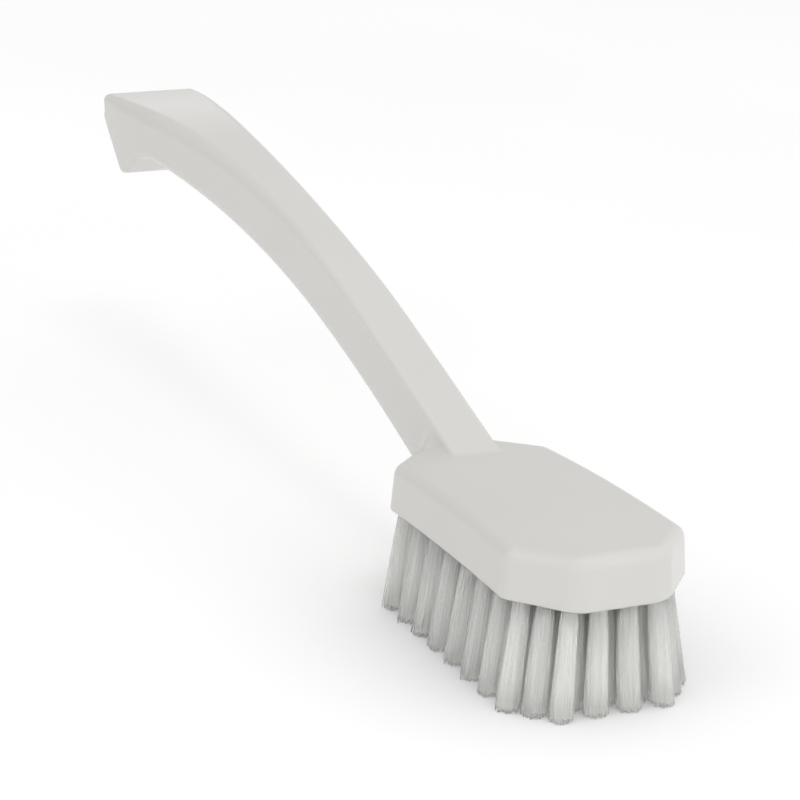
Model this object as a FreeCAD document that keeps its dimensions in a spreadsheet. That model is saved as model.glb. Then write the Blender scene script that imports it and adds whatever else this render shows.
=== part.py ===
import FreeCAD
import Part
import Sketcher
import math
import os

# Scrub brush with a long curved handle.
# One plastic moulding carries staggered rows of filament tufts. Each tuft is folded round a flat wire anchor
# that is driven into a blind hole of the block. Frame: +Z up, +X to the nose, tuft tips on Z = 0,
# origin at the tip of the middle tuft. The crest's height is measured up from the tips. The setbacks of root
# and neck are measured back from the nose, and those of flare, crest and hook forward from the handle's end.
# The hook's heights are measured down from the top of that end.

# Driving dimensions, in millimetres and degrees
SIZES = [
    # The whole brush
    ("overall_length", 415.0),
    ("nose_reach", 50.5),
    ("bristle_length", 36.5),
    # The block
    ("block_thickness", 17.8),
    ("head_width", 65.4),
    ("rear_width", 60.4),
    ("nose_width", 31.4),
    ("nose_chamfer_length", 18.5),
    ("side_length", 88.0),
    ("rear_chamfer_length", 18.5),
    ("crown_rise", 1.8),
    ("top_fall", 1.6),
    ("arch_rise", 1.1),
    ("wall_draft", 4.0),
    ("nose_corner_radius", 14.0),
    ("side_corner_radius", 7.0),
    ("rear_corner_radius", 9.0),
    ("top_edge_radius", 3.8),
    # The handle
    ("root_setback", 106.5),
    ("root_bury", 20.0),
    ("root_foot_rise", 4.0),
    ("neck_width", 18.0),
    ("neck_setback", 215.0),
    ("flare_width", 35.2),
    ("flare_setback", 55.0),
    ("tail_width", 41.4),
    ("handle_draft", 3.0),
    ("crest_height", 112.3),
    ("crest_setback", 40.0),
    ("back_run", 75.8),
    ("back_radius", 606.0),
    ("belly_radius", 803.0),
    ("flare_radius", 1220.0),
    ("hip_radius", 440.0),
    # The hook under the end of the handle
    ("notch_setback", 39.0),
    ("notch_height", 18.0),
    ("hook_tip_setback", 21.0),
    ("hook_tip_length", 4.0),
    ("hook_height", 29.5),
    ("hook_back_height", 9.0),
    # Rounded edges of the handle
    ("root_edge_radius", 1.2),
    ("shoulder_radius", 4.3),
    ("tail_edge_radius", 2.0),
    ("belly_edge_radius", 4.5),
    # Tufts, their holes and their anchors
    ("row_pitch", 6.25),
    ("rows_ahead", 7),
    ("tuft_rows", 17),
    ("tufts_across", 6),
    ("side_margin", 8.0),
    ("corner_margin", 5.0),
    ("hole_diameter", 5.0),
    ("hole_depth", 10.0),
    ("tuft_clearance", 0.1),
    ("tip_diameter", 7.4),
    ("fan_across", 10.0),
    ("fan_along", 5.0),
    ("fold_height", 1.6),
    ("anchor_width", 6.0),
    ("anchor_height", 2.0),
    ("anchor_thickness", 0.4),
    ("anchor_clearance", 0.05),
    # One overrun for every cut and every trimmed end
    ("overrun", 6.0),
]

doc = FreeCAD.newDocument("scrub_brush")


class Size:
    """A size worked out from the sheet, kept both as a number and as the expression that gives it."""

    def __init__(self, value, text):
        self.value = float(value)
        self.text = text

    def __add__(self, other):
        return Size(self.value + other.value, f"({self.text} + {other.text})")

    def __sub__(self, other):
        return Size(self.value - other.value, f"({self.text} - {other.text})")

    def __mul__(self, other):
        if isinstance(other, Size):
            return Size(self.value * other.value, f"({self.text} * {other.text})")
        return Size(self.value * other, f"({self.text} * {other})")

    def __truediv__(self, other):
        if isinstance(other, Size):
            return Size(self.value / other.value, f"({self.text} / {other.text})")
        return Size(self.value / other, f"({self.text} / {other})")

    def __neg__(self):
        return Size(-self.value, f"(0 - {self.text})")


def root_of(size):
    return Size(math.sqrt(size.value), f"sqrt({size.text})")


def tangent_of(angle):
    return Size(math.tan(math.radians(angle.value)), f"tan({angle.text} * 1 deg)")


def make_sheet():
    """Writes the driving dimensions into the sheet, each under its own alias, and gives them back by name."""
    sheet = doc.addObject("Spreadsheet::Sheet", "dims")
    for line, (alias, value) in enumerate(SIZES, start=1):
        sheet.set(f"A{line}", alias)
        sheet.set(f"B{line}", str(value))
        sheet.setAlias(f"B{line}", alias)
    doc.recompute()
    return {alias: Size(sheet.get(alias), f"dims.{alias}") for alias, value in SIZES}


dim = make_sheet()

# An edge is told from its neighbours by its place, to within this share of the neck's width
pick_slack_share = 0.03
pick_slack = dim["neck_width"].value * pick_slack_share


def bind(thing, sizes):
    """Binds properties of an object to the sheet."""
    for name, size in sizes.items():
        thing.setExpression(name, size.text)


def behind(setback):
    """The X of a place that lies this far behind the nose."""
    return dim["nose_reach"] - setback


# Sketch helpers

def new_body(name):
    return doc.addObject("PartDesign::Body", name)


def new_sketch(body, name, role, lift=None):
    """A sketch on one of the body's own origin planes, lifted off it by a size if one is given."""
    sketch = body.newObject("Sketcher::SketchObject", name)
    plane = [feature for feature in body.Origin.OriginFeatures if feature.Role == role]
    sketch.AttachmentSupport = (plane[0], [""])
    sketch.MapMode = "FlatFace"
    if lift:
        bind(sketch, {"AttachmentOffset.Base.z": lift})
    return sketch


def arc_between(start, finish, radius, side):
    """The short arc between two points, drawn counter-clockwise; side is 1 where it bulges to the left."""
    chord = finish - start
    left = FreeCAD.Vector(-chord.y, chord.x, 0).normalize()
    depth = math.sqrt(radius ** 2 - (chord.Length / 2) ** 2)
    centre = (start + finish) * 0.5 - left * depth * side
    first, second = (finish, start) if side > 0 else (start, finish)
    turns = [math.atan2(point.y - centre.y, point.x - centre.x) for point in (first, second)]
    return Part.ArcOfCircle(Part.Circle(centre, FreeCAD.Vector(0, 0, 1), radius), *turns)


def draw_outline(sketch, corners, arcs=None):
    """Draws a closed outline through the corners. arcs gives the radius of the edge that leaves a corner."""
    arcs = arcs or {}
    points = [FreeCAD.Vector(x.value, y.value, 0) for x, y in corners]
    ends = []
    for index, start in enumerate(points):
        finish = points[(index + 1) % len(points)]
        if index in arcs:
            radius, side = arcs[index]
            edge = arc_between(start, finish, radius.value, side)
        else:
            edge = Part.LineSegment(start, finish)
        place = sketch.addGeometry(edge, False)
        drawn = sketch.Geometry[place]
        forward = (drawn.StartPoint - start).Length < (drawn.EndPoint - start).Length
        ends.append((1, 2) if forward else (2, 1))
    held = []
    for index, corner in enumerate(corners):
        last = (index - 1) % len(corners)
        here = ends[index][0]
        held.append((Sketcher.Constraint("Coincident", last, ends[last][1], index, here), None))
        held.append((Sketcher.Constraint("DistanceX", -1, 1, index, here, corner[0].value), corner[0]))
        held.append((Sketcher.Constraint("DistanceY", -1, 1, index, here, corner[1].value), corner[1]))
    for index, (radius, side) in arcs.items():
        held.append((Sketcher.Constraint("Radius", index, radius.value), radius))
    sketch.addConstraint([constraint for constraint, size in held])
    for index, (constraint, size) in enumerate(held):
        if size:
            sketch.setExpression(f"Constraints[{index}]", size.text)


def new_pad(body, name, sketch, length):
    pad = body.newObject("PartDesign::Pad", name)
    pad.Profile = sketch
    bind(pad, {"Length": length})
    return pad


# Places and curves that several pieces share

half_neck = dim["neck_width"] / 2
side_x = behind(dim["nose_chamfer_length"])
rear_x = side_x - dim["side_length"]
end_x = rear_x - dim["rear_chamfer_length"]
top_z = dim["bristle_length"] + dim["block_thickness"]
arch_radius = dim["nose_reach"] * dim["nose_reach"] / (dim["arch_rise"] * 2)
fall_radius = dim["nose_reach"] * dim["nose_reach"] / (dim["top_fall"] * 2)
crown_radius = dim["head_width"] * dim["head_width"] / (dim["crown_rise"] * 8)
low_z = dim["bristle_length"] - arch_radius + root_of(arch_radius * arch_radius - end_x * end_x)
mouth_drop = dim["bristle_length"] - low_z

# The back of the handle: a straight run from the block, tangent to one long arc that passes over the crest.
# The arc's centre lies one radius from the crest, and so far from the root that the tangent there is the run.
root_x = behind(dim["root_setback"])
tail_x = behind(dim["overall_length"])
crest_x = tail_x + dim["crest_setback"]
flare_x = tail_x + dim["flare_setback"]
reach = root_x - crest_x
rise = dim["crest_height"] - top_z
span = root_of(reach * reach + rise * rise)
run_square = dim["back_run"] * dim["back_run"]
back_square = dim["back_radius"] * dim["back_radius"]
foot = (span - run_square / span) / 2
depth = root_of(back_square - foot * foot)
back_centre_x = crest_x + (foot * reach - depth * rise) / span
back_centre_z = dim["crest_height"] - (foot * rise + depth * reach) / span
apex_z = back_centre_z + dim["back_radius"]
root_reach = root_x - back_centre_x
root_lift = top_z - back_centre_z
along = back_square / (back_square + run_square)
aside = dim["back_radius"] * dim["back_run"] / (back_square + run_square)
meet_x = back_centre_x + along * root_reach - aside * root_lift
meet_z = back_centre_z + along * root_lift + aside * root_reach
back_slope = (meet_z - top_z) / (root_x - meet_x)


def arc_height(x):
    """The height of the back's long arc at X."""
    return back_centre_z + root_of(back_square - (x - back_centre_x) * (x - back_centre_x))


# The hook under the end of the handle
tail_z = arc_height(tail_x)
notch_x = tail_x + dim["notch_setback"]
notch_z = tail_z - dim["notch_height"]
toe_x = tail_x + dim["hook_tip_setback"]
heel_x = toe_x - dim["hook_tip_length"]
hook_z = tail_z - dim["hook_height"]
hook_back_z = tail_z - dim["hook_back_height"]


def back_height(x):
    """The height of the back of the handle at X, as a number."""
    if x > meet_x.value:
        return top_z.value + back_slope.value * (root_x.value - x)
    return back_centre_z.value + math.sqrt(back_square.value - (x - back_centre_x.value) ** 2)


# The block

def make_block():
    """The bristle block: a drafted outline with rounded corners, a crowned top and an arched underside."""
    body = new_body("block_form")
    sketch = new_sketch(body, "block_outline", "XY_Plane", low_z)
    right = [
        (dim["nose_reach"], dim["nose_width"] / 2),
        (side_x, dim["head_width"] / 2),
        (rear_x, dim["rear_width"] / 2),
        (end_x, half_neck),
    ]
    draw_outline(sketch, right + mirrored(right))
    walls = new_pad(body, "block_walls", sketch, top_z - low_z + dim["overrun"])
    bind(walls, {"TaperAngle": -dim["wall_draft"]})
    doc.recompute()
    corner_radii = ("nose_corner_radius", "side_corner_radius", "rear_corner_radius")
    for name, corner in zip(corner_radii, right):
        walls = round_corner(body, walls, name.replace("_radius", ""), corner, dim[name])
    crown = doc.addObject("Part::Torus", "crown_form")
    bind(crown, {"Radius1": fall_radius - crown_radius, "Radius2": crown_radius})
    lay_across(crown, {"Placement.Base.z": top_z - fall_radius})
    crowned = boolean("Part::Common", "crowned_block", body, crown)
    arch = doc.addObject("Part::Cylinder", "underside_form")
    bind(arch, {"Radius": arch_radius, "Height": dim["head_width"] * 2})
    arch_z = dim["bristle_length"] - arch_radius
    lay_across(arch, {"Placement.Base.y": dim["head_width"], "Placement.Base.z": arch_z})
    arched = boolean("Part::Cut", "arched_block", crowned, arch)
    top = [face for face in arched.Shape.Faces if face.Surface.TypeId == "Part::GeomToroid"][0]
    rim = [edge.hashCode() for edge in top.Edges]
    radius = dim["top_edge_radius"].value
    rounds = [(index, radius, radius) for index, edge in numbered(arched.Shape) if edge.hashCode() in rim]
    return round_edges("soft_block", arched, rounds)


def mirrored(corners):
    """The same corners on the other side of the brush, in the order that closes the outline."""
    return [(x, -y) for x, y in reversed(corners)]


def lay_across(thing, places):
    """Turns a round form so that its axis runs across the brush, and binds its place."""
    thing.Placement.Rotation = FreeCAD.Rotation(FreeCAD.Vector(1, 0, 0), 90)
    bind(thing, places)


def boolean(kind, name, base, tool):
    result = doc.addObject(kind, name)
    result.Base = base
    result.Tool = tool
    doc.recompute()
    return result


def numbered(shape):
    return enumerate(shape.Edges, start=1)


def middle_of(edge):
    return edge.valueAt((edge.FirstParameter + edge.LastParameter) / 2)


def round_corner(body, base, name, corner, radius):
    """Rounds the two upright edges, right and left, that rise from a corner of the outline."""
    foot_x, foot_y = (size.value for size in corner)
    edges = []
    for index, edge in numbered(base.Shape):
        low = min((vertex.Point for vertex in edge.Vertexes), key=lambda point: point.z)
        upright = edge.BoundBox.ZLength > dim["block_thickness"].value
        if upright and math.hypot(low.x - foot_x, abs(low.y) - foot_y) < pick_slack:
            edges.append(f"Edge{index}")
    fillet = body.newObject("PartDesign::Fillet", name)
    fillet.Base = (base, edges)
    bind(fillet, {"Radius": radius})
    doc.recompute()
    return fillet


def round_edges(name, base, rounds):
    """Rounds edges, each given as its number and the radii at its two ends."""
    fillet = doc.addObject("Part::Fillet", name)
    fillet.Base = base
    fillet.Edges = rounds
    doc.recompute()
    return fillet


# The handle

def make_handle():
    """The handle: its side view and its plan, each as a solid, keep what they have in common."""
    side = make_handle_side()
    plan = make_handle_plan()
    bar = boolean("Part::Common", "handle_bar", side, plan)
    tail = round_edges("tail_rounds", bar, even_rounds(bar, is_tail_edge, dim["tail_edge_radius"]))
    belly = round_edges("belly_rounds", tail, even_rounds(tail, is_belly_edge, dim["belly_edge_radius"]))
    return round_edges("back_rounds", belly, back_rounds(belly))


def make_handle_side():
    body = new_body("handle_side")
    sketch = new_sketch(body, "handle_profile", "XZ_Plane")
    inner_x = root_x + dim["root_bury"]
    corners = [
        (inner_x, top_z - back_slope * dim["root_bury"]),
        (meet_x, meet_z),
        (tail_x, tail_z),
        (tail_x, hook_back_z),
        (heel_x, hook_z),
        (toe_x, hook_z),
        (notch_x, notch_z),
        (end_x, low_z),
        (inner_x, dim["bristle_length"] + dim["root_foot_rise"]),
    ]
    draw_outline(sketch, corners, {1: (dim["back_radius"], -1), 6: (dim["belly_radius"], 1)})
    pad = new_pad(body, "handle_profile_pad", sketch, dim["tail_width"] + dim["overrun"])
    pad.Midplane = True
    doc.recompute()
    return body


def make_handle_plan():
    """The plan is drawn at the top of the back's arc, wider by the draft than the handle is at its height."""
    body = new_body("handle_plan")
    sketch = new_sketch(body, "handle_outline", "XY_Plane", apex_z)
    lean = tangent_of(dim["handle_draft"])
    neck_x = behind(dim["neck_setback"])
    places = [
        (root_x + dim["root_bury"], dim["neck_width"], top_z),
        (neck_x, dim["neck_width"], arc_height(neck_x)),
        (flare_x, dim["flare_width"], arc_height(flare_x)),
        (tail_x, dim["tail_width"], tail_z),
    ]
    right = [(x, width / 2 + (apex_z - height) * lean) for x, width, height in places]
    flare = (dim["flare_radius"], 1)
    hip = (dim["hip_radius"], -1)
    draw_outline(sketch, right + mirrored(right), {1: flare, 2: hip, 4: hip, 5: flare})
    pad = new_pad(body, "handle_outline_pad", sketch, apex_z - low_z + dim["overrun"])
    pad.Reversed = True
    bind(pad, {"TaperAngle": -dim["handle_draft"]})
    doc.recompute()
    return body


def is_side_edge(edge):
    """True for an edge that runs along a side of the handle, not across it and not up a side wall."""
    box = edge.BoundBox
    across = box.YLength > half_neck.value
    wall_height = hook_back_z.value - notch_z.value
    climbs = box.XLength < pick_slack and box.ZLength > wall_height
    return not across and not climbs and abs(middle_of(edge).y) > half_neck.value / 2


def is_back_edge(edge):
    point = middle_of(edge)
    return is_side_edge(edge) and abs(point.z - back_height(point.x)) < pick_slack


def is_belly_edge(edge):
    point = middle_of(edge)
    outside = notch_x.value < point.x < end_x.value
    return is_side_edge(edge) and outside and not is_back_edge(edge)


def is_tail_edge(edge):
    """True for the edges of the tail's end face and of the slanted face below it."""
    point = middle_of(edge)
    share = min((point.z - hook_z.value) / (hook_back_z.value - hook_z.value), 1)
    slant_x = heel_x.value + (tail_x.value - heel_x.value) * share
    below_back = point.z < back_height(point.x) - pick_slack
    return is_side_edge(edge) and below_back and point.x < slant_x + pick_slack and point.x < heel_x.value


def even_rounds(base, test, radius):
    return [(index, radius.value, radius.value) for index, edge in numbered(base.Shape) if test(edge)]


def back_rounds(base):
    """The back's edges are crisp at the root, swell to the shoulder and tighten again at the tail."""
    rounds = []
    for index, edge in numbered(base.Shape):
        if is_back_edge(edge):
            ends = (edge.valueAt(edge.FirstParameter), edge.valueAt(edge.LastParameter))
            rounds.append((index, *(back_edge_radius(point.x) for point in ends)))
    return rounds


def back_edge_radius(x):
    crisp = dim["root_edge_radius"].value
    full = dim["shoulder_radius"].value
    tight = dim["tail_edge_radius"].value
    if x > flare_x.value:
        share = max(meet_x.value - x, 0) / (meet_x.value - flare_x.value)
        return crisp + (full - crisp) * share
    if x > crest_x.value:
        return full
    return full + (tight - full) * (crest_x.value - x) / (crest_x.value - tail_x.value)


# The tufts, their holes and their anchors. Each form is made once, with the mouth of its hole at the origin.

def make_hole_form():
    """A blind hole that runs out below the underside."""
    hole = doc.addObject("Part::Cylinder", "hole_form")
    bind(hole, {
        "Radius": dim["hole_diameter"] / 2,
        "Height": dim["hole_depth"] + mouth_drop + dim["overrun"],
        "Placement.Base.z": -mouth_drop - dim["overrun"],
    })
    return hole


def make_plate(name, length, height, thickness):
    """A flat plate that lies across the hole, where the folded tuft hangs on its anchor."""
    plate = doc.addObject("Part::Box", name)
    middle_z = dim["hole_depth"] - dim["fold_height"] - dim["anchor_height"] / 2
    bind(plate, {
        "Length": thickness,
        "Width": length,
        "Height": height,
        "Placement.Base.x": -thickness / 2,
        "Placement.Base.y": -length / 2,
        "Placement.Base.z": middle_z - height / 2,
    })
    return plate


def make_anchor_form():
    return make_plate("anchor_form", dim["anchor_width"], dim["anchor_height"], dim["anchor_thickness"])


def make_slit_form(name, length):
    """Room for the anchor, in the walls of the hole or in the fold of the tuft."""
    room = dim["anchor_clearance"] * 2
    return make_plate(name, length, dim["anchor_height"] + room, dim["anchor_thickness"] + room)


def make_tuft_form():
    """A tuft: straight in its hole, then fanning out to its tip, with a window where the anchor passes."""
    body = new_body("tuft_bundle")
    sketch = new_sketch(body, "tuft_profile", "XZ_Plane")
    root_radius = dim["hole_diameter"] / 2 - dim["tuft_clearance"]
    fan_slope = (dim["tip_diameter"] / 2 - root_radius) / (dim["bristle_length"] - mouth_drop)
    foot_z = -dim["bristle_length"] - dim["overrun"]
    fold_z = dim["hole_depth"] - dim["tuft_clearance"]
    axis_x = Size(0, "0")
    draw_outline(sketch, [
        (axis_x, fold_z),
        (axis_x, foot_z),
        (root_radius + fan_slope * (-mouth_drop - foot_z), foot_z),
        (root_radius, -mouth_drop),
        (root_radius, fold_z),
    ])
    bundle = body.newObject("PartDesign::Revolution", "tuft_revolution")
    bundle.Profile = sketch
    bundle.ReferenceAxis = (sketch, ["V_Axis"])
    doc.recompute()
    return boolean("Part::Cut", "tuft_form", body, make_slit_form("fold_window", dim["tip_diameter"]))


def straight_half(x):
    """Half the width between the block's straight sides at X, carried on past their ends."""
    taper = (dim["head_width"].value - dim["rear_width"].value) / 2 / dim["side_length"].value
    return dim["head_width"].value / 2 - taper * (side_x.value - x)


def outline_half(x):
    """Half the width of the block's outline at X."""
    if x > side_x.value:
        share = (x - side_x.value) / dim["nose_chamfer_length"].value
        return straight_half(side_x.value) * (1 - share) + dim["nose_width"].value / 2 * share
    if x < rear_x.value:
        share = (rear_x.value - x) / dim["rear_chamfer_length"].value
        return straight_half(rear_x.value) * (1 - share) + half_neck.value * share
    return straight_half(x)


def tuft_places(row):
    """The hole mouths of one row, counted from the nose. Every second row is staggered by half a pitch."""
    x = (dim["rows_ahead"].value - row) * dim["row_pitch"].value
    across = int(dim["tufts_across"].value)
    pitch = 2 * (straight_half(x) - dim["side_margin"].value) / (across - 1)
    count = across - row % 2
    offsets = [(index - (count - 1) / 2) * pitch for index in range(count)]
    room = outline_half(x) - dim["corner_margin"].value
    return [(x, y) for y in offsets if abs(y) <= room]


def tuft_placement(x, y):
    """Sets a form into its hole. The tufts fan out: they lean more the nearer they stand to sides and nose."""
    lean_x = math.tan(math.radians(dim["fan_along"].value)) * max(x, 0) / dim["nose_reach"].value
    lean_y = math.tan(math.radians(dim["fan_across"].value)) * y * 2 / dim["head_width"].value
    up = FreeCAD.Vector(0, 0, 1)
    turn = FreeCAD.Rotation(up, FreeCAD.Vector(-lean_x, -lean_y, 1))
    return FreeCAD.Placement(FreeCAD.Vector(x, y, dim["bristle_length"].value), turn)


def set_out(name, form, places):
    """Copies of one form, set into the holes at these places, as one group of separate solids."""
    copies = []
    for index, (x, y) in enumerate(places, start=1):
        copy = doc.addObject("App::Link", f"{name}_{index:02d}")
        copy.LinkedObject = form
        copy.LinkTransform = True
        copy.Placement = tuft_placement(x, y)
        copies.append(copy)
    group = doc.addObject("Part::Compound", name)
    group.Links = copies
    return group


def make_floor():
    """The level below which the filaments are trimmed off."""
    floor = doc.addObject("Part::Box", "trim_level")
    extent = dim["overall_length"]
    bind(floor, {
        "Length": extent * 2,
        "Width": extent * 2,
        "Height": dim["bristle_length"],
        "Placement.Base.x": -extent,
        "Placement.Base.y": -extent,
        "Placement.Base.z": -dim["bristle_length"],
    })
    return floor


def make_tufts(rows):
    form = make_tuft_form()
    floor = make_floor()
    for number, places in enumerate(rows, start=1):
        grown = set_out(f"grown_row_{number:02d}", form, places)
        keep(boolean("Part::Cut", f"trimmed_row_{number:02d}", grown, floor), f"tuft_row_{number:02d}")


def make_anchors(rows):
    form = make_anchor_form()
    for number, places in enumerate(rows, start=1):
        keep(set_out(f"anchors_{number:02d}", form, places), f"anchor_row_{number:02d}")


def make_body(rows):
    """The moulding: block and handle in one, with a hole for each tuft and slits where its anchor bites."""
    moulding = boolean("Part::Fuse", "moulding", make_block(), make_handle())
    places = [place for row in rows for place in row]
    holes = set_out("holes", make_hole_form(), places)
    slit_length = dim["anchor_width"] + dim["anchor_clearance"] * 2
    slits = set_out("slits", make_slit_form("slit_form", slit_length), places)
    drilled = boolean("Part::Cut", "drilled_moulding", moulding, holes)
    keep(boolean("Part::Cut", "slit_moulding", drilled, slits), "brush_body")


kept = []


def keep(thing, label):
    thing.Label = label
    kept.append(thing)


def write_parts():
    """Stops if anything in the document failed, then writes each sub-part to its own file."""
    doc.recompute()
    for thing in doc.Objects:
        if "Invalid" in thing.State or "Error" in thing.State:
            raise RuntimeError(f"{thing.Label} failed: {thing.State}")
    for thing in kept:
        if thing.Shape.isNull() or not thing.Shape.isValid():
            raise RuntimeError(f"{thing.Label} has no valid shape")
    os.makedirs("parts", exist_ok=True)
    for thing in kept:
        thing.Shape.exportStep(f"parts/{thing.Label}.step")
        print(thing.Label, len(thing.Shape.Solids), "solids", round(thing.Shape.Volume), "mm3")


tuft_rows = [tuft_places(row) for row in range(int(dim["tuft_rows"].value))]
make_body(tuft_rows)
make_tufts(tuft_rows)
make_anchors(tuft_rows)
write_parts()
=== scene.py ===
import math

import bpy
import numpy as np
from mathutils import Matrix, Vector


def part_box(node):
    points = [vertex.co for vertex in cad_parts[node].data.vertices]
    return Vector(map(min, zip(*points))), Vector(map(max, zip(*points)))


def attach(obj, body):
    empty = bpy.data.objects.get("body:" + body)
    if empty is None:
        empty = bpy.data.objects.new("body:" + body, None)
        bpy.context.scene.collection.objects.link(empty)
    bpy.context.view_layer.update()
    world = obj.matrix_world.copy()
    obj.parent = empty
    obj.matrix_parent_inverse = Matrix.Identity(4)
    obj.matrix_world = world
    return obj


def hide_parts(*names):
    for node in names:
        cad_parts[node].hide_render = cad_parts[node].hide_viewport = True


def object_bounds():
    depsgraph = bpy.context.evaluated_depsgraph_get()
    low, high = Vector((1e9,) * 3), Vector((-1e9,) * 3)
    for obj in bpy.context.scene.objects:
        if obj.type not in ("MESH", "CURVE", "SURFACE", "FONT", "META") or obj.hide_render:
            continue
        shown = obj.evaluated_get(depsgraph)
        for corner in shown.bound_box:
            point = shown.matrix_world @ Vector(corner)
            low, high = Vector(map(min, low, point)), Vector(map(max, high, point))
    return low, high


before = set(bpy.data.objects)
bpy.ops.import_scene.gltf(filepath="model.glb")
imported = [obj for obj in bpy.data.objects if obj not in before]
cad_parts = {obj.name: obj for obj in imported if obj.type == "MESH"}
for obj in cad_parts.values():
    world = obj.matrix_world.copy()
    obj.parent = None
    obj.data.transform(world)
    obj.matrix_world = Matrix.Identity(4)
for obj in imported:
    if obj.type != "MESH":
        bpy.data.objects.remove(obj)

# A white scrub brush: one glossy moulding, and tufts of single filaments below it.
# Lengths are metres, in the frame's own axes: +Z up from the tuft tips, +X towards the nose.

# Boxes of the whole brush and of its moulding, from the frame
cad_low, cad_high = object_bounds()
body_low, body_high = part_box("brush_body")
NOSE_X = body_high.x
TAIL_X = body_low.x
CREST_Z = body_high.z

RANDOM_SEED = 41
random = np.random.default_rng(RANDOM_SEED)

# Block of the moulding. Setbacks are measured back from the nose, heights up from the tuft tips.
BRISTLE_LENGTH = 0.0365
BLOCK_THICKNESS = 0.0178
NOSE_HALF = 0.0157
HEAD_HALF = 0.0327
REAR_HALF = 0.0302
NOSE_CHAMFER = 0.0185
SIDE_LENGTH = 0.0880
REAR_CHAMFER = 0.0185
WALL_DRAFT = math.radians(4)
ARCH_RADIUS = 1.159
TOP_ARCH_RADIUS = 0.797
CROWN_RADIUS = 0.297
NOSE_SOFTNESS = 0.0036
SIDE_SOFTNESS = 0.0020
REAR_SOFTNESS = 0.0026
TOP_EDGE_RADIUS = 0.0038
BOTTOM_EDGE_RADIUS = 0.0012
TOP_Z = BRISTLE_LENGTH + BLOCK_THICKNESS
SIDE_X = NOSE_X - NOSE_CHAMFER
REAR_X = SIDE_X - SIDE_LENGTH
END_X = REAR_X - REAR_CHAMFER

# Handle of the moulding, with the notch and the hook under its tail
NECK_HALF = 0.0090
ROOT_SETBACK = 0.1065
NECK_SETBACK = 0.215
FLARE_SETBACK = 0.360
CREST_SETBACK = 0.375
NOTCH_SETBACK = 0.376
TOE_SETBACK = 0.394
HEEL_SETBACK = 0.398
NOTCH_Z = 0.0930
HOOK_Z = 0.0815
HOOK_BACK_Z = 0.1020
BACK_RADIUS = 0.606
BELLY_RADIUS = 0.803
FLARE_RADIUS = 1.220
HIP_RADIUS = 0.440
HANDLE_DRAFT = math.radians(3)
NOTCH_RADIUS = 0.0030
HOOK_EDGE_RADIUS = 0.0015
TAIL_EDGE_RADIUS = 0.0020
ROOT_X = NOSE_X - ROOT_SETBACK
CREST_X = NOSE_X - CREST_SETBACK
NOTCH = (NOSE_X - NOTCH_SETBACK, NOTCH_Z)
TOE = (NOSE_X - TOE_SETBACK, HOOK_Z)
HEEL = (NOSE_X - HEEL_SETBACK, HOOK_Z)
HOOK_BACK = (TAIL_X, HOOK_BACK_Z)

# Long edges of the handle. The upper one swells from the root to the flare and shrinks a little at the tail,
# the lower one tightens over the hook, and one radius gives way to the other halfway up the side.
ROOT_EDGE_RADIUS = 0.0012
SHOULDER_RADIUS = 0.0060
BELLY_EDGE_RADIUS = 0.0045
SWELL_SETBACK = 0.135
SHRINK_SETBACKS = (0.372, 0.412)
SHRINK_SHARE = 0.5
TIGHTEN_SETBACKS = (0.365, 0.385)
HALFWAY_SHARES = (0.4, 0.6)

# Soft fill between handle and block. It grows over its rise above the handle's belly,
# and it is never more than its share of the height of the handle's side wall.
ROOT_BLEND = 0.0065
ROOT_BLEND_SHARE = 0.9
ROOT_BLEND_RISE = 0.0120
CRISP_BLEND = 0.0005

# Mesh of the moulding. A slab is the number of grid planes worked out at a time.
MESH_STEP = 0.0008
GRID_MARGIN = 3 * MESH_STEP
SLAB = 64
PROJECT_STEPS = 3
RELAX_STEPS = 3
GRADIENT_STEP = 0.00004
LEAST_SLOPE_SQUARE = 0.1

# Holes, and the layers of points in the CAD rows that show where each tuft starts and ends
HOLE_RADIUS = 0.0025
HOLE_SINK = 0.0035
HOLE_EDGE_RADIUS = 0.0003
TIP_LAYER = 0.0003
FOLD_LAYER = HOLE_SINK / 2
TUFT_GAP = HOLE_RADIUS / 2

# Tufts. Levels are shares of the way from a hole's mouth to the tip, and the first lies inside the hole.
FILAMENTS = 104
FILAMENT_RADIUS = 0.00016
FILAMENT_SIDES = 4
FILAMENT_LEVELS = np.array([-0.08, 0.05, 0.3, 0.65, 1.0])
BUNDLE_ROOT_RADIUS = 0.00238
BUNDLE_TIP_RADIUS = 0.00370
FAN_POWER = 0.42
RIM_POWER = 0.3
GOLDEN_TURN = math.pi * (3 - math.sqrt(5))
TURN_SCATTER = 0.12
TIP_SCATTER = 1.4 * FILAMENT_RADIUS
TIP_UNEVENNESS = 0.0011
STRAY_SHARE = 0.02
STRAY_REACH = 0.0016
CORE_SHARE = 0.88
CORE_SIDES = 20
CORE_LEVELS = 6
CORE_LIFT = 0.0017

# Materials. Openness is near 0 deep between the tufts and near 1 where nothing stands in front of a filament.
# The filaments are painted lighter in the crevices, as painted light for the light that passes through them,
# and show the open tone on the outside and at the tips.
WHITE = (1, 1, 1)
PLASTIC_DARK = (0.600, 0.588, 0.565)
PLASTIC_LIGHT = (0.625, 0.613, 0.590)
FILAMENT_DARK = (0.90, 0.905, 0.865)
FILAMENT_LIGHT = (0.98, 0.985, 0.955)
STEEL_DARK = (0.50, 0.50, 0.51)
STEEL_LIGHT = (0.66, 0.66, 0.67)
FLOOR_DARK = (0.93, 0.93, 0.93)
FLOOR_LIGHT = (0.95, 0.95, 0.95)
CREVICE_REACH = 0.010
CREVICE_SAMPLES = 8
CREVICE_OPENNESS = 0.05
OUTSIDE_OPENNESS = 0.4
OPEN_TONE = 0.36
TIP_ZONE = 0.012

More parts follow.
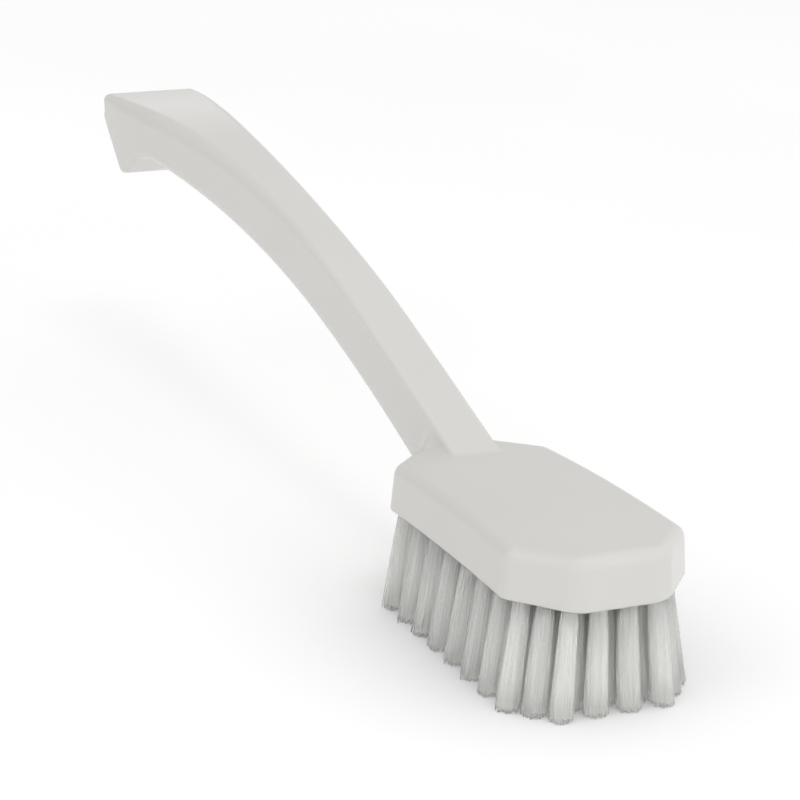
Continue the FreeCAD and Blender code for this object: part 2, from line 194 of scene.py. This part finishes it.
# Camera
CAMERA_PLACE = Vector((0.7860, -0.4275, 0.3715))
CAMERA_RIGHT = Vector((0.4206, 0.9068, 0.0305))
CAMERA_DOWN = Vector((0.2891, -0.1021, -0.9517))
CAMERA_LENS = 135
SENSOR_WIDTH = 36

# Floor and light
FLOOR_SIZE = 30
SKY_AXIS = (0.93, 0.37, 0.0)
SKY_MIDDLE = 0.94
SKY_BRIGHTEST = 1.34
BRUSH_MIDDLE = (-0.1, 0, 0.05)
TAIL_BACK = (-0.325, 0, 0.11)


# Distance fields. A field is negative inside, and each is close to a true distance near its surface.

def both(a, b, radius):
    """The common part of two fields, with a rounded edge."""
    edge = np.hypot(np.maximum(radius + a, 0), np.maximum(radius + b, 0))
    return np.minimum(np.maximum(a, b), -radius) + edge


def either(a, b, radius):
    """The union of two fields, with a filled crease."""
    crease = np.hypot(np.maximum(radius - a, 0), np.maximum(radius - b, 0))
    return np.maximum(np.minimum(a, b), radius) - crease


def ease(low, high, value):
    """Rises smoothly from 0 at low to 1 at high."""
    share = np.clip((value - low) / (high - low), 0, 1)
    return share * share * (3 - 2 * share)


def plane(first, second, across, up):
    """Distance from the line through two points of a plane, positive on its right."""
    run = second[0] - first[0]
    rise = second[1] - first[1]
    return ((across - first[0]) * rise - (up - first[1]) * run) / math.hypot(run, rise)


def underside(x):
    """Height of the block's arched underside."""
    return BRISTLE_LENGTH - x * x / (2 * ARCH_RADIUS)


def block_top(x, y):
    """Height of the block's top, arched along the brush and crowned across it."""
    return TOP_Z - x * x / (2 * TOP_ARCH_RADIUS) - y * y / (2 * CROWN_RADIUS)


def block_distance(x, y, z):
    """The block: drafted walls round an outline with chamfered corners, and the rounded edge of its top."""
    side = np.abs(y)
    corners = [
        (NOSE_X, 0),
        (NOSE_X, NOSE_HALF),
        (SIDE_X, HEAD_HALF),
        (REAR_X, REAR_HALF),
        (END_X, NECK_HALF),
        (END_X, 0),
    ]
    corner_softness = (0, NOSE_SOFTNESS, SIDE_SOFTNESS, REAR_SOFTNESS, 0)
    inset = (z - underside(END_X)) * math.sin(WALL_DRAFT)
    walls = None
    for first, second, softness in zip(corners, corners[1:], corner_softness):
        wall = plane(first, second, x, side) * math.cos(WALL_DRAFT) + inset
        walls = wall if walls is None else both(walls, wall, softness)
    return both(walls, z - block_top(x, y), TOP_EDGE_RADIUS)


def tangent_to_back():
    """Where the straight back of the handle, rising from the block, meets the long arc over the crest."""
    centre_z = CREST_Z - BACK_RADIUS
    reach = ROOT_X - CREST_X
    lift = TOP_Z - centre_z
    square = reach * reach + lift * lift
    along = BACK_RADIUS ** 2 / square
    aside = BACK_RADIUS * math.sqrt(square - BACK_RADIUS ** 2) / square
    return CREST_X + along * reach - aside * lift, centre_z + along * lift + aside * reach


MEET_X, MEET_Z = tangent_to_back()
ROOT_SLOPE = (MEET_Z - TOP_Z) / (MEET_X - ROOT_X)


def arc(x, centre_x, centre_z, radius):
    """Height and slope of the upper part of a circle."""
    across = np.clip(x - centre_x, -radius / 2, radius / 2)
    rise = np.sqrt(radius ** 2 - across ** 2)
    return centre_z + rise, -across / rise


def back_line(x):
    """Height and slope of the handle's back."""
    height, slope = arc(x, CREST_X, CREST_Z - BACK_RADIUS, BACK_RADIUS)
    straight = x > MEET_X
    height = np.where(straight, TOP_Z + ROOT_SLOPE * (x - ROOT_X), height)
    return height, np.where(straight, ROOT_SLOPE, slope)


def belly_centre():
    """Centre of the belly's arc, which runs from the notch to the rear end of the block's underside."""
    start = Vector(NOTCH)
    finish = Vector((END_X, underside(END_X)))
    chord = finish - start
    down = Vector((chord.y, -chord.x)).normalized()
    depth = math.sqrt(BELLY_RADIUS ** 2 - (chord.length / 2) ** 2)
    return (start + finish) / 2 + down * depth


BELLY_CENTRE = belly_centre()


def belly_line(x):
    """Height and slope of the handle's belly."""
    return arc(x, BELLY_CENTRE.x, BELLY_CENTRE.y, BELLY_RADIUS)


def handle_half(x):
    """Half the handle's width along its back."""
    setback = NOSE_X - x
    flare = np.clip(setback - NECK_SETBACK, 0, FLARE_SETBACK - NECK_SETBACK)
    hip = np.maximum(setback - FLARE_SETBACK, 0)
    waist = NECK_HALF + flare * flare / (2 * FLARE_RADIUS)
    hip_slope = (FLARE_SETBACK - NECK_SETBACK) / FLARE_RADIUS
    return waist + hip_slope * hip - hip * hip / (2 * HIP_RADIUS)


def handle_profile(x, z, above, below):
    """The handle seen from the side, from its distances above the back and below the belly."""
    slant = plane(HOOK_BACK, HEEL, x, z)
    front = plane(TOE, NOTCH, x, z)
    hook = both(both(slant, HOOK_Z - z, HOOK_EDGE_RADIUS), front, HOOK_EDGE_RADIUS)
    under = either(below, hook, NOTCH_RADIUS)
    profile = both(both(above, TAIL_X - x, TAIL_EDGE_RADIUS), under, TAIL_EDGE_RADIUS)
    return both(profile, slant, TAIL_EDGE_RADIUS)


def edge_radius(setback, level):
    """Radius of the handle's long edges, at a share of the way up from belly to back."""
    swell = ease(SWELL_SETBACK, FLARE_SETBACK, setback) * (1 - SHRINK_SHARE * ease(*SHRINK_SETBACKS, setback))
    upper = ROOT_EDGE_RADIUS + (SHOULDER_RADIUS - ROOT_EDGE_RADIUS) * swell
    lower = BELLY_EDGE_RADIUS + (TAIL_EDGE_RADIUS - BELLY_EDGE_RADIUS) * ease(*TIGHTEN_SETBACKS, setback)
    return lower + (upper - lower) * ease(*HALFWAY_SHARES, level)


def handle_distance(x, y, z):
    """The handle: its side view, between sides that lean in towards the belly."""
    back, back_slope = back_line(x)
    belly, belly_slope = belly_line(x)
    above = (z - back) / np.sqrt(1 + back_slope ** 2)
    below = (belly - z) / np.sqrt(1 + belly_slope ** 2)
    lean = (back - z) * math.tan(HANDLE_DRAFT)
    sides = (np.abs(y) - handle_half(x) + lean) * math.cos(HANDLE_DRAFT)
    level = (z - belly) / np.maximum(back - belly, MESH_STEP)
    return both(handle_profile(x, z, above, below), sides, edge_radius(NOSE_X - x, level))


def hole_distance(x, y, z, tufts):
    """The nearest tuft's hole, as far up as it shows."""
    mouths = tufts["mouth"]
    nearest = np.argmin((x[:, None] - mouths[:, 0]) ** 2 + (y[:, None] - mouths[:, 1]) ** 2, axis=1)
    mouth = mouths[nearest]
    lean = tufts["lean"][nearest]
    drop = mouth[:, 2] - z
    across = np.hypot(x - mouth[:, 0] - lean[:, 0] * drop, y - mouth[:, 1] - lean[:, 1] * drop)
    return np.maximum(across - HOLE_RADIUS, -drop - HOLE_SINK)


def body_distance(points, tufts):
    """The whole moulding: block and handle with a soft fill between, cut by the underside and the holes."""
    x, y, z = points.T
    lowest = np.maximum(belly_line(x)[0], underside(x))
    wall = back_line(x)[0] - block_top(x, 0)
    fill = np.clip(ROOT_BLEND_SHARE * wall, CRISP_BLEND, ROOT_BLEND)
    blend = CRISP_BLEND + (fill - CRISP_BLEND) * ease(0, ROOT_BLEND_RISE, z - lowest)
    solid = either(block_distance(x, y, z), handle_distance(x, y, z), blend)
    solid = both(solid, underside(x) - z, BOTTOM_EDGE_RADIUS)
    near = (z < BRISTLE_LENGTH + HOLE_SINK + MESH_STEP) & (x > END_X) & (solid < MESH_STEP)
    solid[near] = both(solid[near], -hole_distance(x[near], y[near], z[near], tufts), HOLE_EDGE_RADIUS)
    return solid


# Surface of a distance field: one point in each grid cell that the surface crosses, joined into quads

CORNERS = [(i, j, k) for i in (0, 1) for j in (0, 1) for k in (0, 1)]
CELL_EDGES = [
    (first, second)
    for first in CORNERS
    for second in CORNERS
    if np.subtract(second, first).min() == 0 and sum(second) - sum(first) == 1
]


def grid_axes():
    """Coordinates of the grid's planes along each axis."""
    low = np.array(body_low) - GRID_MARGIN
    counts = np.ceil((np.array(body_high) + GRID_MARGIN - low) / MESH_STEP).astype(int) + 1
    return [low[axis] + MESH_STEP * np.arange(counts[axis]) for axis in range(3)]


def sample_grid(axes, distance):
    """The field's values on the grid."""
    values = np.empty([len(axis) for axis in axes], np.float32)
    for start in range(0, len(axes[0]), SLAB):
        part = np.meshgrid(axes[0][start:start + SLAB], axes[1], axes[2], indexing="ij")
        points = np.stack([axis.ravel() for axis in part], axis=1)
        values[start:start + SLAB] = distance(points).reshape(part[0].shape)
    return values


def shifted(values, corner):
    """The values at one corner of every grid cell."""
    window = tuple(slice(step, size - 1 + step) for step, size in zip(corner, values.shape))
    return values[window]


def surface_of(axes, values):
    """Points and quads of the surface where the field is zero."""
    inside = values < 0
    hits = sum(shifted(inside, corner).astype(np.int8) for corner in CORNERS)
    cells = np.argwhere((hits > 0) & (hits < len(CORNERS)))
    number = np.full(hits.shape, -1, np.int32)
    number[tuple(cells.T)] = np.arange(len(cells))
    total = np.zeros((len(cells), 3))
    count = np.zeros(len(cells))
    for first, second in CELL_EDGES:
        here = values[tuple((cells + first).T)].astype(float)
        there = values[tuple((cells + second).T)].astype(float)
        crossed = (here < 0) != (there < 0)
        share = np.where(crossed, here / np.where(crossed, here - there, 1), 0)
        step = np.array(first) + share[:, None] * np.subtract(second, first)
        total += np.where(crossed[:, None], step, 0)
        count += crossed
    low = np.array([axis[0] for axis in axes])
    points = low + MESH_STEP * (cells + total / count[:, None])
    return points, np.concatenate([crossing_quads(inside, number, axis) for axis in range(3)])


def crossing_quads(inside, number, axis):
    """A quad round each grid edge along one axis that the surface crosses, facing outwards."""
    ahead = np.roll(inside, -1, axis)
    crossed = inside != ahead
    crossed[tuple(-1 if each == axis else slice(None) for each in range(3))] = False
    places = np.argwhere(crossed)
    leaving = inside[tuple(places.T)]
    one, two = np.eye(3, dtype=int)[[(axis + 1) % 3, (axis + 2) % 3]]
    ring = [places - one - two, places - two, places, places - one]
    quads = np.stack([number[tuple(each.T)] for each in ring], axis=1)
    quads[~leaving] = quads[~leaving][:, ::-1]
    return quads


def gradient_of(points, distance):
    """The field's slope along each axis."""
    steps = np.eye(3) * GRADIENT_STEP
    rises = [distance(points + step) - distance(points - step) for step in steps]
    return np.stack(rises, axis=1) / (2 * GRADIENT_STEP)


def settle(points, distance):
    """Moves points onto the surface of the field."""
    for _ in range(PROJECT_STEPS):
        slope = gradient_of(points, distance)
        square = np.maximum((slope ** 2).sum(axis=1), LEAST_SLOPE_SQUARE)
        move = (distance(points) / square)[:, None] * slope
        points = points - np.clip(move, -MESH_STEP, MESH_STEP)
    return points


def relax(points, quads, distance):
    """Evens out the spacing of the points along the surface."""
    for _ in range(RELAX_STEPS):
        total = np.zeros_like(points)
        count = np.zeros(len(points))
        for corner in range(4):
            here = quads[:, corner]
            for beside in (quads[:, corner - 1], quads[:, (corner + 1) % 4]):
                np.add.at(total, here, points[beside])
                np.add.at(count, here, 1)
        points = settle((points + total / count[:, None]) / 2, distance)
    return points


# Pieces

def mesh_piece(name, points, faces, material, nodes):
    """A smooth mesh that rides on the brush and stands for these CAD nodes."""
    mesh = bpy.data.meshes.new(name)
    mesh.from_pydata(points.tolist(), [], faces)
    mesh.shade_smooth()
    mesh.materials.append(material)
    piece = bpy.data.objects.new(name, mesh)
    bpy.context.scene.collection.objects.link(piece)
    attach(piece, "root")
    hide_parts(*nodes)
    return piece


def make_body(tufts, material):
    """Block and handle as one mesh."""
    def distance(points):
        return body_distance(points, tufts)

    axes = grid_axes()
    points, quads = surface_of(axes, sample_grid(axes, distance))
    points = relax(settle(points, distance), quads, distance)
    points = np.clip(points, np.array(body_low), np.array(body_high))
    mesh_piece("brush_moulding", points, quads.tolist(), material, ["brush_body"])


def row_names():
    return sorted(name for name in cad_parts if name.startswith("tuft_row_"))


def groups_across(points):
    """Splits points into groups that stand apart along Y, and gives the middle of each."""
    points = points[np.argsort(points[:, 1])]
    breaks = np.flatnonzero(np.diff(points[:, 1]) > TUFT_GAP) + 1
    return np.array([(group.min(axis=0) + group.max(axis=0)) / 2 for group in np.split(points, breaks)])


def read_row(name):
    """Mouth and lean of each tuft in a row, from the CAD solids. Lean is the drift per metre going down."""
    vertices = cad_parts[name].data.vertices
    points = np.empty(len(vertices) * 3)
    vertices.foreach_get("co", points)
    points = points.reshape(-1, 3)
    tips = groups_across(points[points[:, 2] < TIP_LAYER])
    folds = groups_across(points[points[:, 2] > points[:, 2].max() - FOLD_LAYER])
    lean = (tips - folds)[:, :2] / (folds - tips)[:, 2:]
    mouth_x = tips[:, 0] - lean[:, 0] * BRISTLE_LENGTH
    mouth_z = underside(mouth_x)
    mouth = np.column_stack([tips[:, :2] - lean * mouth_z[:, None], mouth_z])
    return {"mouth": mouth, "lean": lean}


def bundle_radius(levels):
    """Radius of a tuft at these levels. It fans out most just below its hole."""
    fan = np.clip(levels, 0, 1) ** FAN_POWER
    return BUNDLE_ROOT_RADIUS + (BUNDLE_TIP_RADIUS - BUNDLE_ROOT_RADIUS) * fan


def tuft_filaments(mouth, lean):
    """Centre lines of one tuft's filaments, from inside the hole to their uneven tips."""
    order = np.arange(FILAMENTS)
    reach = ((order + 0.5) / FILAMENTS) ** RIM_POWER
    turn = order * GOLDEN_TURN + random.uniform(0, 2 * math.pi) + random.normal(0, TURN_SCATTER, FILAMENTS)
    spread = np.column_stack([np.cos(turn), np.sin(turn)]) * reach[:, None]
    bow = random.normal(0, FILAMENT_RADIUS, (FILAMENTS, 2))
    tip_shift = random.normal(0, TIP_SCATTER, (FILAMENTS, 2))
    stray = random.random(FILAMENTS) < STRAY_SHARE
    tip_shift[stray] += spread[stray] * STRAY_REACH
    trim = np.abs(random.normal(0, TIP_UNEVENNESS / 2, FILAMENTS))
    drop = FILAMENT_LEVELS[None, :] * (mouth[2] - trim)[:, None]
    down = np.clip(FILAMENT_LEVELS, 0, 1)
    fanned = spread[:, None, :] * bundle_radius(FILAMENT_LEVELS)[None, :, None]
    side = fanned + mouth[:2] + lean * drop[:, :, None]
    side = side + tip_shift[:, None, :] * (down ** 2)[None, :, None]
    side = side + bow[:, None, :] * (4 * down * (1 - down))[None, :, None]
    return np.concatenate([side, (mouth[2] - drop)[:, :, None]], axis=2)


def tuft_core(mouth, lean):
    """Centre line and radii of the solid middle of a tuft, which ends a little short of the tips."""
    levels = np.linspace(FILAMENT_LEVELS[0], 1 - CORE_LIFT / mouth[2], CORE_LEVELS)
    drop = levels * mouth[2]
    line = np.column_stack([mouth[:2] + lean * drop[:, None], mouth[2] - drop])
    return line[None], CORE_SHARE * bundle_radius(levels)


def tubes(lines, radii, sides):
    """Closed tubes round centre lines that all run nearly straight down."""
    count, levels = lines.shape[:2]
    turn = np.arange(sides) * 2 * math.pi / sides
    ring = np.column_stack([np.cos(turn), np.sin(turn), np.zeros(sides)])
    points = lines[:, :, None, :] + np.reshape(radii, (1, -1, 1, 1)) * ring
    faces = []
    for tube in range(count):
        base = tube * levels * sides
        for level in range(levels - 1):
            for side in range(sides):
                here = base + level * sides + side
                beside = base + level * sides + (side + 1) % sides
                faces.append((here, here + sides, beside + sides, beside))
        last = base + (levels - 1) * sides
        faces.append(tuple(range(base, base + sides)))
        faces.append(tuple(reversed(range(last, last + sides))))
    return points.reshape(-1, 3), faces


def make_tuft_row(name, row, material):
    """One row of tufts. Light passes through the milky filaments, so they cast no shadow."""
    points, faces = np.empty((0, 3)), []
    for mouth, lean in zip(row["mouth"], row["lean"]):
        bundle = tubes(tuft_filaments(mouth, lean), FILAMENT_RADIUS, FILAMENT_SIDES)
        core = tubes(*tuft_core(mouth, lean), CORE_SIDES)
        for more_points, more_faces in (bundle, core):
            faces += [tuple(corner + len(points) for corner in face) for face in more_faces]
            points = np.concatenate([points, more_points])
    points = np.clip(points, np.array(cad_low), np.array(cad_high))
    piece = mesh_piece(name.replace("row", "filaments"), points, faces, material, [name])
    piece.visible_shadow = False


def finish_anchors(material):
    """The wire anchors keep their CAD shape."""
    for name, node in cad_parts.items():
        if name.startswith("anchor_row_"):
            node.data.materials.clear()
            node.data.materials.append(material)


# Materials

def new_material(name):
    material = bpy.data.materials.new(name)
    material.use_nodes = True
    return material, material.node_tree, material.node_tree.nodes["Principled BSDF"]


def set_inputs(node, values):
    for name, value in values.items():
        node.inputs[name].default_value = value


def add_noise(tree, scale, detail):
    """Noise in the object's own coordinates, which are the frame's metres."""
    place = tree.nodes.new("ShaderNodeTexCoord")
    noise = tree.nodes.new("ShaderNodeTexNoise")
    set_inputs(noise, {"Scale": scale, "Detail": detail})
    tree.links.new(place.outputs["Object"], noise.inputs["Vector"])
    return noise.outputs["Fac"]


def add_ramp(tree, source, *stops):
    """Colours spread over a value, as (place, colour) stops."""
    ramp = tree.nodes.new("ShaderNodeValToRGB")
    for element, (place, colour) in zip(ramp.color_ramp.elements, stops):
        element.position = place
        element.color = (*colour, 1)
    tree.links.new(source, ramp.inputs["Fac"])
    return ramp.outputs["Color"]


def add_range(tree, source, low, high):
    """Spreads a value that runs from 0 to 1 over low to high."""
    spread = tree.nodes.new("ShaderNodeMapRange")
    spread.clamp = False
    set_inputs(spread, {"To Min": low, "To Max": high})
    tree.links.new(source, spread.inputs["Value"])
    return spread.outputs["Result"]


def add_bump(tree, source, shader, strength, distance):
    bump = tree.nodes.new("ShaderNodeBump")
    set_inputs(bump, {"Strength": strength, "Distance": distance})
    tree.links.new(source, bump.inputs["Height"])
    tree.links.new(bump.outputs["Normal"], shader.inputs["Normal"])


def add_painted_crevice_light(tree):
    """Painted light: the share of its tone that a filament shows, all of it in a crevice and less outside and
    at the tips, so the crevices are painted lighter in place of light that passes through the filaments.
    """
    openness = tree.nodes.new("ShaderNodeAmbientOcclusion")
    openness.samples = CREVICE_SAMPLES
    set_inputs(openness, {"Distance": CREVICE_REACH})
    open_grey = (OPEN_TONE, OPEN_TONE, OPEN_TONE)
    # painted light: the ramp makes the crevices lighter than the open outside
    depth = add_ramp(tree, openness.outputs["AO"], (CREVICE_OPENNESS, WHITE), (OUTSIDE_OPENNESS, open_grey))
    place = tree.nodes.new("ShaderNodeTexCoord")
    split = tree.nodes.new("ShaderNodeSeparateXYZ")
    tree.links.new(place.outputs["Object"], split.inputs["Vector"])
    height = tree.nodes.new("ShaderNodeMapRange")
    set_inputs(height, {"From Max": TIP_ZONE})
    tree.links.new(split.outputs["Z"], height.inputs["Value"])
    share = tree.nodes.new("ShaderNodeMix")
    set_inputs(share, {"A": OPEN_TONE})
    tree.links.new(height.outputs["Result"], share.inputs["Factor"])
    tree.links.new(depth, share.inputs["B"])
    return share.outputs["Result"]


def make_plastic():
    """Glossy white polypropylene: faint cloudy tone, fine moulded skin."""
    material, tree, shader = new_material("white_plastic")
    cloud = add_noise(tree, scale=24, detail=1)
    skin = add_noise(tree, scale=1100, detail=2)
    tone = add_ramp(tree, cloud, (0, PLASTIC_DARK), (1, PLASTIC_LIGHT))
    tree.links.new(tone, shader.inputs["Base Color"])
    tree.links.new(add_range(tree, cloud, low=0.22, high=0.28), shader.inputs["Roughness"])
    add_bump(tree, skin, shader, strength=0.05, distance=0.00005)
    set_inputs(shader, {
        "IOR": 1.49,
        "Specular IOR Level": 0.3,
        "Subsurface Weight": 0.12,
        "Subsurface Radius": (0.004, 0.0035, 0.003),
        "Subsurface Scale": 1.0,
    })
    return material


def make_filament():
    """Milky polyester filament: each one a little lighter or darker than the next, and painted lighter deep
    between the tufts as painted light.
    """
    material, tree, shader = new_material("white_filament")
    strand = tree.nodes.new("ShaderNodeNewGeometry")
    tone = add_ramp(tree, strand.outputs["Random Per Island"], (0, FILAMENT_DARK), (1, FILAMENT_LIGHT))
    shade = tree.nodes.new("ShaderNodeVectorMath")
    shade.operation = "SCALE"
    tree.links.new(tone, shade.inputs[0])
    # painted light: filaments lighter in the crevices between the tufts
    tree.links.new(add_painted_crevice_light(tree), shade.inputs["Scale"])
    tree.links.new(shade.outputs["Vector"], shader.inputs["Base Color"])
    grain = add_noise(tree, scale=900, detail=2)
    tree.links.new(add_range(tree, grain, low=0.38, high=0.52), shader.inputs["Roughness"])
    shader.subsurface_method = "BURLEY"
    set_inputs(shader, {
        "IOR": 1.5,
        "Specular IOR Level": 0.3,
        "Subsurface Weight": 1.0,
        "Subsurface Radius": (0.016, 0.016, 0.015),
        "Subsurface Scale": 1.0,
    })
    return material


def make_steel():
    """Bright flat wire with an uneven polish."""
    material, tree, shader = new_material("anchor_steel")
    polish = add_noise(tree, scale=2600, detail=2)
    tone = add_ramp(tree, polish, (0.3, STEEL_DARK), (0.7, STEEL_LIGHT))
    tree.links.new(tone, shader.inputs["Base Color"])
    tree.links.new(add_range(tree, polish, low=0.25, high=0.42), shader.inputs["Roughness"])
    set_inputs(shader, {"Metallic": 1.0})
    return material


def make_floor_material():
    """A pale matt floor that glows a little."""
    material, tree, shader = new_material("pale_floor")
    haze = add_noise(tree, scale=3, detail=2)
    tone = add_ramp(tree, haze, (0.3, FLOOR_DARK), (0.7, FLOOR_LIGHT))
    tree.links.new(tone, shader.inputs["Base Color"])
    set_inputs(shader, {
        "Roughness": 0.9,
        "Specular IOR Level": 0.1,
        "Emission Color": (*WHITE, 1),
        "Emission Strength": 0.05,
    })
    return material


# Stage

def make_floor():
    bpy.ops.mesh.primitive_plane_add(size=FLOOR_SIZE)
    floor = bpy.context.object
    floor.name = "floor"
    floor.data.materials.append(make_floor_material())


def make_sky():
    """White light from all round, brighter from one side."""
    world = bpy.data.worlds.new("studio")
    world.use_nodes = True
    tree = world.node_tree
    background = tree.nodes["Background"]
    set_inputs(background, {"Color": (*WHITE, 1)})
    place = tree.nodes.new("ShaderNodeTexCoord")
    towards = tree.nodes.new("ShaderNodeVectorMath")
    towards.operation = "DOT_PRODUCT"
    towards.inputs[1].default_value = SKY_AXIS
    tree.links.new(place.outputs["Generated"], towards.inputs[0])
    strength = add_range(tree, towards.outputs["Value"], SKY_MIDDLE, SKY_BRIGHTEST)
    tree.links.new(strength, background.inputs["Strength"])
    bpy.context.scene.world = world


def add_light(name, place, target, size, power):
    """A square area lamp that faces its target."""
    lamp = bpy.data.lights.new(name, "AREA")
    lamp.size = size
    lamp.energy = power
    light = bpy.data.objects.new(name, lamp)
    light.location = place
    light.rotation_euler = (Vector(target) - Vector(place)).to_track_quat("-Z", "Y").to_euler()
    bpy.context.scene.collection.objects.link(light)


def make_lights():
    make_sky()
    add_light("softbox_left", place=(0.1, -1.25, 1.3), target=BRUSH_MIDDLE, size=1.0, power=2.4)
    add_light("softbox_nose", place=(0.576, 0.018, 1.462), target=BRUSH_MIDDLE, size=0.35, power=1.6)
    add_light("softbox_behind", place=(-1.97, 0.63, 0.49), target=TAIL_BACK, size=0.25, power=0.14)


def make_camera():
    right = CAMERA_RIGHT.normalized()
    forward = right.cross(CAMERA_DOWN).normalized()
    up = right.cross(forward)
    camera = bpy.data.cameras.new("camera")
    camera.lens = CAMERA_LENS
    camera.sensor_width = SENSOR_WIDTH
    view = bpy.data.objects.new("camera", camera)
    axes = Matrix((right, up, -forward)).transposed().to_4x4()
    view.matrix_world = Matrix.Translation(CAMERA_PLACE) @ axes
    bpy.context.scene.collection.objects.link(view)
    bpy.context.scene.camera = view


def make_scene():
    rows = {name: read_row(name) for name in row_names()}
    tufts = {part: np.concatenate([row[part] for row in rows.values()]) for part in ("mouth", "lean")}
    make_body(tufts, make_plastic())
    filament = make_filament()
    for name, row in rows.items():
        make_tuft_row(name, row, filament)
    finish_anchors(make_steel())
    make_floor()
    make_lights()
    make_camera()
    bpy.context.scene.view_settings.view_transform = "Standard"


make_scene()
